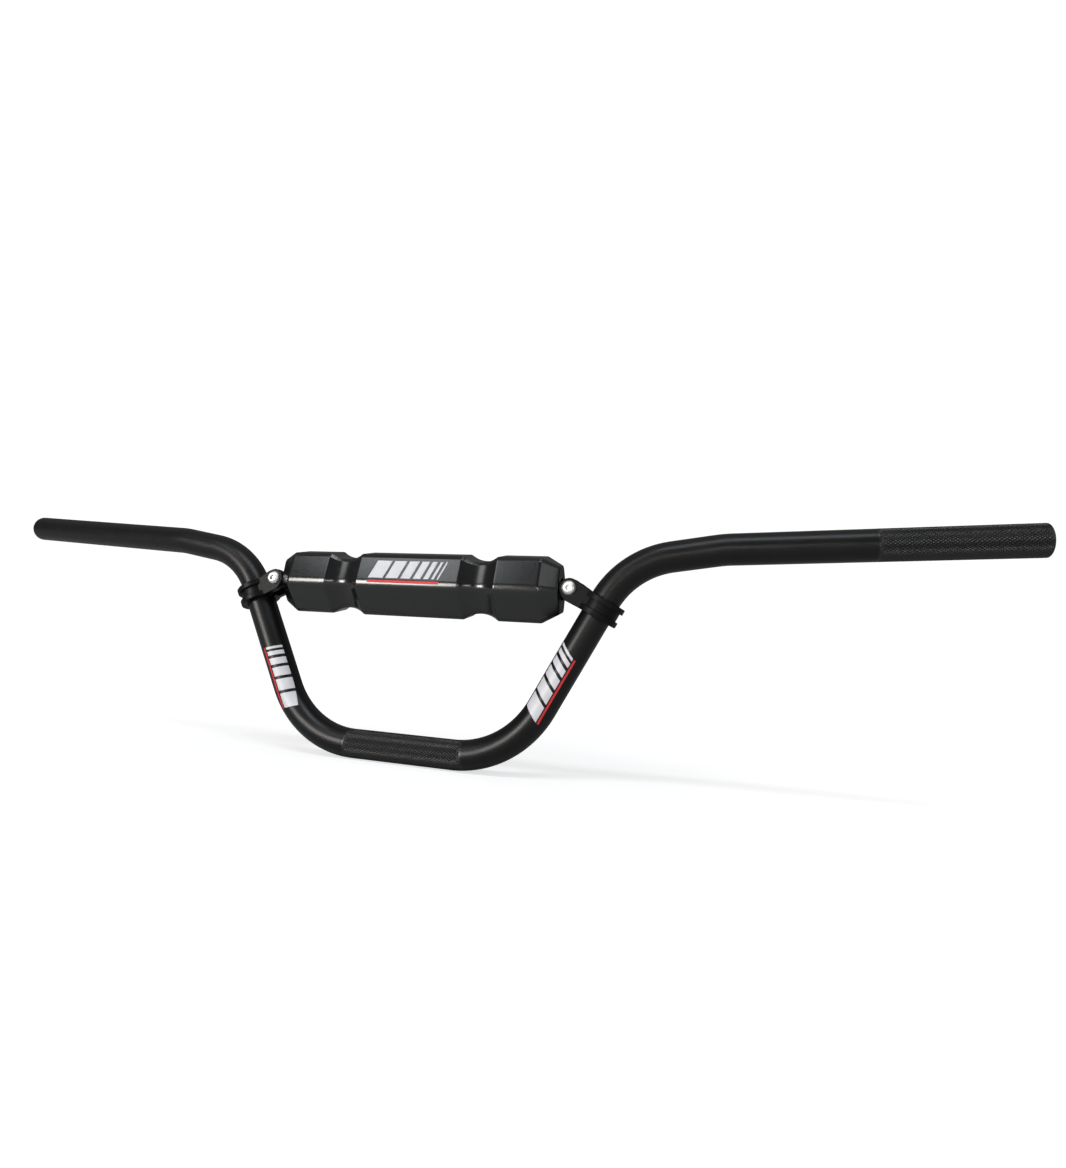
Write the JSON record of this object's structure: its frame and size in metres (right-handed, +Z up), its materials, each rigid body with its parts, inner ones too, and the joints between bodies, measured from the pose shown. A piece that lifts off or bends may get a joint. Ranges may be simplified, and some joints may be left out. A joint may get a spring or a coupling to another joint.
{
  "type": "handlebar",
  "caption": "Motorcycle handlebar with a clamped crossbar and a moulded crossbar pad, knurled at the stem seat and one grip end.",
  "frame": {"origin": "on the tube's axis at the middle of the centre clamp seat", "axes": "+X to the rider's left along the centre run, +Y to the rear, +Z up in the plane of the two risers"},
  "size_m": [0.8524, 0.0524, 0.1927],
  "materials": {
    "bar_anodised": "satin black anodised",
    "crossbar_metal": "black anodised",
    "clamp_anodised": "machined and black anodised",
    "bolt_steel": "bright zinc plated",
    "pad_skin": "moulded, fine grain, semi-gloss",
    "pad_foam": "closed-cell foam",
    "closure_tape": "hook and loop",
    "print_white": "printed vinyl",
    "print_red": "printed vinyl"
  },
  "bodies": {
    "bar": {"handlebar_tube": "bar_anodised", "crossbar_tube": "crossbar_metal", "crossbar_end_left": "clamp_anodised", "crossbar_end_right": "clamp_anodised", "crossbar_clamp_left": "clamp_anodised", "crossbar_clamp_right": "clamp_anodised", "clamp_bolt_left": "bolt_steel", "clamp_bolt_right": "bolt_steel", "clamp_washer_left": "bolt_steel", "clamp_washer_right": "bolt_steel", "clamp_nut_left": "bolt_steel", "clamp_nut_right": "bolt_steel", "riser_graphic_left": "print_white", "riser_graphic_right": "print_white", "riser_accent_left": "print_red", "riser_accent_right": "print_red"},
    "pad": {"pad_front_shell": "pad_skin", "pad_rear_shell": "pad_skin", "pad_core_front": "pad_foam", "pad_core_rear": "pad_foam", "pad_hook_tape": "closure_tape", "pad_loop_tape": "closure_tape", "pad_graphic": "print_white", "pad_graphic_accent": "print_red"}
  },
  "joints": [
    {"name": "pad_turn", "type": "hinge", "parent": "bar", "child": "pad", "pos_m": [0, 0, 0.12588], "axis": [1, 0, 0], "continuous": true}
  ]
}
